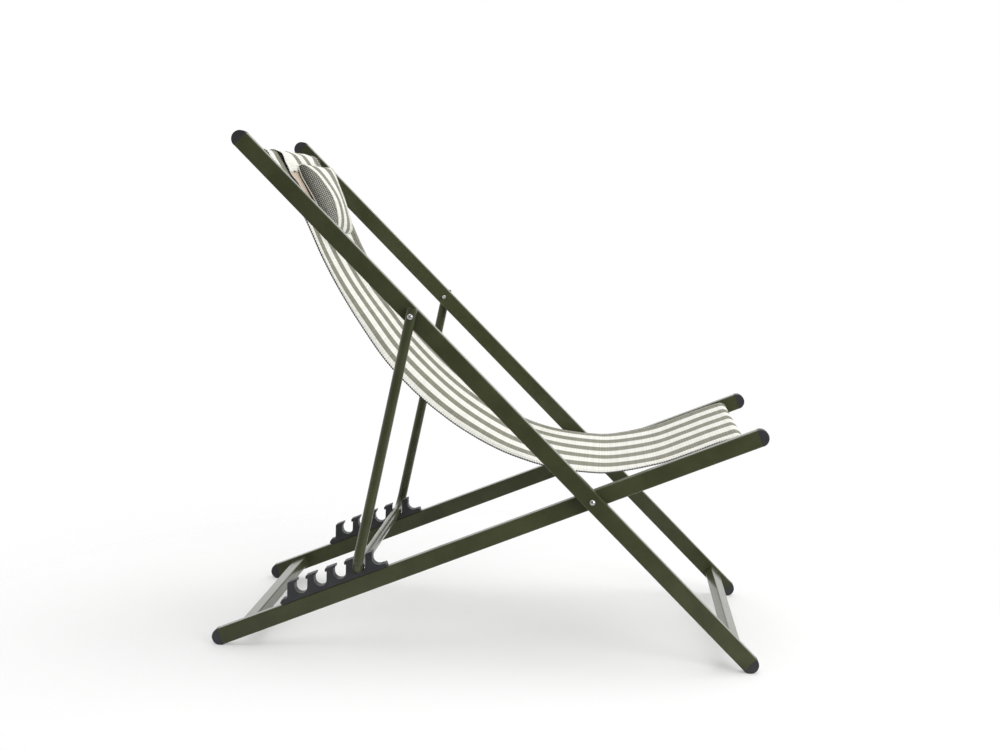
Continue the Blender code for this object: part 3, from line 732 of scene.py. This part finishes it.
def build_pillow():
    """The head pillow: a filled cover of striped cloth with dark mesh end panels, piped and stitched."""
    n, rows, columns = PILLOW_STEPS, 48, 8
    count = 2 * n
    rings, points, faces, panel_start = pillow_cover(rows, columns)
    pillow = add_mesh("pillow", points, faces, PILLOW)
    pillow.data.materials.append(MESH_PANEL)
    for face in pillow.data.polygons:
        face.material_index = 1 if face.index >= panel_start else 0
    mesh = bmesh.new()
    mesh.from_mesh(pillow.data)
    bmesh.ops.recalc_face_normals(mesh, faces=mesh.faces)
    mesh.to_mesh(pillow.data)
    mesh.free()
    rest = np.array(points)
    loop = rings[0][:, [0, 2]]
    along = distances(loop)
    axis = loop[n] - loop[0]
    axis /= np.linalg.norm(axis)
    outer = np.array([-axis[1], axis[0]])
    depth = (rest[:, [0, 2]] - loop.mean(axis=0)) @ outer
    lengthwise = (rest[:, [0, 2]] - loop[0]) @ axis
    body = len(rings) * count
    cloth = np.zeros((len(rest), 3))
    cloth[:body, 0] = rest[:body, 1]
    cloth[:body, 1] = np.tile(along, len(rings))
    cloth[body:, 0] = depth[body:]
    cloth[body:, 1] = lengthwise[body:]
    store(pillow, cloth)
    store(pillow, np.c_[depth, lengthwise, depth], "panel")
    seams = [row * count + k for row in (0, rows) for k in range(count)]
    index = np.arange(len(rest)) % count
    rear_side = (np.arange(len(rest)) < body) & ((index > n) | (index == 0))
    moved = fill_pillow(pillow, seams, rear_side)
    pillow.data.vertices.foreach_set("co", moved.ravel())
    smooth = pillow.modifiers.new("smooth", "SUBSURF")
    smooth.levels = 1
    smooth.render_levels = 1
    pillow.data = evaluated_mesh(pillow)
    pillow.modifiers.clear()
    grid = moved[:body].reshape(len(rings), count, 3)
    pipe_piece, sewn_piece = trim_pillow(grid, rows)
    for piece in (pillow, pipe_piece, sewn_piece):
        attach(piece, "headrest")
    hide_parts("headrest_pillow")


# ---------------------------------------------------------------- frame details
def end_loop(node, sign):
    """The outline of a cross member's end face, in order round it."""
    mesh = NODES[node].data
    points = np.array([v.co for v in mesh.vertices])
    extreme = (points[:, 1] * sign).max()
    ends = points[points[:, 1] * sign > extreme - 0.0004]
    middle = ends.mean(axis=0)
    radius = np.linalg.norm(ends - middle, axis=1)
    ends = ends[radius > 0.6 * radius.max()]
    order = np.argsort(np.arctan2(ends[:, 2] - middle[2], ends[:, 0] - middle[0]))
    return ends[order], middle


def build_welds():
    """A rippled weld bead round each end of each cross member, where it meets the rails."""
    beads = {"seat_frame": [], "back_frame": []}
    members = {"seat_rear_stretcher": "seat_frame", "seat_front_tube": "seat_frame",
               "foot_stretcher": "back_frame", "head_tube": "back_frame"}
    for node, body in members.items():
        for sign in (-1.0, 1.0):
            loop, middle = end_loop(node, sign)
            closed = np.r_[loop, loop[:1]]
            along = np.r_[0.0, np.cumsum(np.linalg.norm(np.diff(closed, axis=0), axis=1))]
            count = 96
            line = []
            for k in range(count):
                d = along[-1] * k / count
                point = np.array([np.interp(d, along, closed[:, a]) for a in range(3)])
                out = point - middle
                out[1] = 0.0
                ripple = 0.00018 * math.sin(2 * math.pi * k / 3) + 0.0002 * math.sin(k * 0.37 + 1.0)
                line.append(point + out / np.linalg.norm(out) * (0.0003 + ripple) - (0, sign * 0.0010, 0))
            beads[body].append(tube(line, 0.0019, 8, closed=True))
    for body, parts in beads.items():
        piece = join_parts(f"{body}_welds", parts, PAINT)
        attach(piece, body)


# ---------------------------------------------------------------- stage
def build_stage():
    """A pale floor that fades into a white studio, and soft lights."""
    graph = Graph("studio_floor", Roughness=0.85, Specular_IOR_Level=0.2)
    place = graph.position()
    grain = graph.noise(place, 400.0, 3.0)
    colour = graph.mix(graph.span(grain, 0.3, 0.7), (0.90, 0.90, 0.90, 1.0), (0.93, 0.93, 0.93, 1.0))
    radius = graph.add("VectorMath", {0: place}, out=1, operation="LENGTH")
    pale = graph.connect(Base_Color=colour, Alpha=graph.span(radius, 0.55, 1.35, 0.7, 0.0))
    rings, sides = (0.35, 0.7, 1.05, 1.4), 64
    points = [(r * math.cos(2 * math.pi * k / sides), r * math.sin(2 * math.pi * k / sides), -0.0002)
              for r in rings for k in range(sides)]
    faces = [list(range(sides))]
    for i in range(len(rings) - 1):
        for k in range(sides):
            m = (k + 1) % sides
            faces.append([i * sides + k, (i + 1) * sides + k, (i + 1) * sides + m, i * sides + m])
    add_mesh("studio_floor", points, faces, pale)
    world = bpy.data.worlds.new("studio")
    world.use_nodes = True
    tree = world.node_tree
    room = tree.nodes["Background"]
    room.inputs[1].default_value = 1.0
    direction = tree.nodes.new("ShaderNodeTexCoord")
    split = tree.nodes.new("ShaderNodeSeparateXYZ")
    ramp = tree.nodes.new("ShaderNodeMapRange")
    ramp.interpolation_type = "SMOOTHSTEP"
    for index, value in ((1, -0.95), (2, 0.10), (3, ROOM_DARK), (4, ROOM_LIGHT)):
        ramp.inputs[index].default_value = value
    glow = tree.nodes.new("ShaderNodeMapRange")
    glow.interpolation_type = "SMOOTHSTEP"
    for index, value in ((1, 0.15), (2, 0.95), (3, 0.0), (4, ROOM_GLOW)):
        glow.inputs[index].default_value = value
    total = tree.nodes.new("ShaderNodeMath")
    white = tree.nodes.new("ShaderNodeBackground")
    white.inputs[0].default_value = (1.0, 1.0, 1.0, 1.0)
    path = tree.nodes.new("ShaderNodeLightPath")
    blend = tree.nodes.new("ShaderNodeMixShader")
    for start, end in ((direction.outputs["Generated"], split.inputs[0]), (split.outputs[1], ramp.inputs[0]),
                       (split.outputs[1], glow.inputs[0]), (ramp.outputs[0], total.inputs[0]),
                       (glow.outputs[0], total.inputs[1]), (total.outputs[0], room.inputs[0]),
                       (path.outputs["Is Camera Ray"], blend.inputs[0]),
                       (room.outputs[0], blend.inputs[1]), (white.outputs[0], blend.inputs[2]),
                       (blend.outputs[0], tree.nodes["World Output"].inputs[0])):
        tree.links.new(start, end)
    bpy.context.scene.world = world
    lamps = (("key", (-0.6, -1.8, 3.8), 3.0, 22.0), ("top", (1.6, 0.9, 4.0), 3.0, 40.0),
             ("fill", (2.4, -2.6, 1.5), 1.8, 46.0))
    for name, spot, size, power in lamps:
        lamp = bpy.data.lights.new(name, "AREA")
        lamp.shape = "DISK"
        lamp.size = size
        lamp.energy = power
        item = bpy.data.objects.new(name, lamp)
        item.location = spot
        item.rotation_euler = (Vector((0, 0, 0.4)) - Vector(spot)).to_track_quat("-Z", "Y").to_euler()
        bpy.context.collection.objects.link(item)


def build_camera():
    """A camera on the -Y side, just below the top of the back, turned, tipped down and rolled a little."""
    yaw, pitch, roll = (math.radians(a) for a in (3.72, 6.42, 1.64))
    forward = Vector((-math.sin(yaw) * math.cos(pitch), math.cos(yaw) * math.cos(pitch), -math.sin(pitch)))
    right = Vector((math.cos(yaw), math.sin(yaw), 0.0))
    up = right.cross(forward)
    x_axis = right * math.cos(roll) + up * math.sin(roll)
    y_axis = up * math.cos(roll) - right * math.sin(roll)
    camera = bpy.data.objects.new("camera", bpy.data.cameras.new("camera"))
    camera.data.lens = 56.2
    camera.data.sensor_width = 36.0
    camera.data.clip_end = 60.0
    matrix = Matrix((x_axis, y_axis, -forward)).transposed().to_4x4()
    matrix.translation = (0.19045, -2.919, 0.7995)
    camera.matrix_world = matrix
    bpy.context.collection.objects.link(camera)
    bpy.context.scene.camera = camera


build_camera()
build_stage()
paint_nodes()
build_sling()
build_strap()
build_pillow()
build_welds()
bpy.context.scene.view_settings.view_transform = "Standard"

bpy.context.view_layer.update()
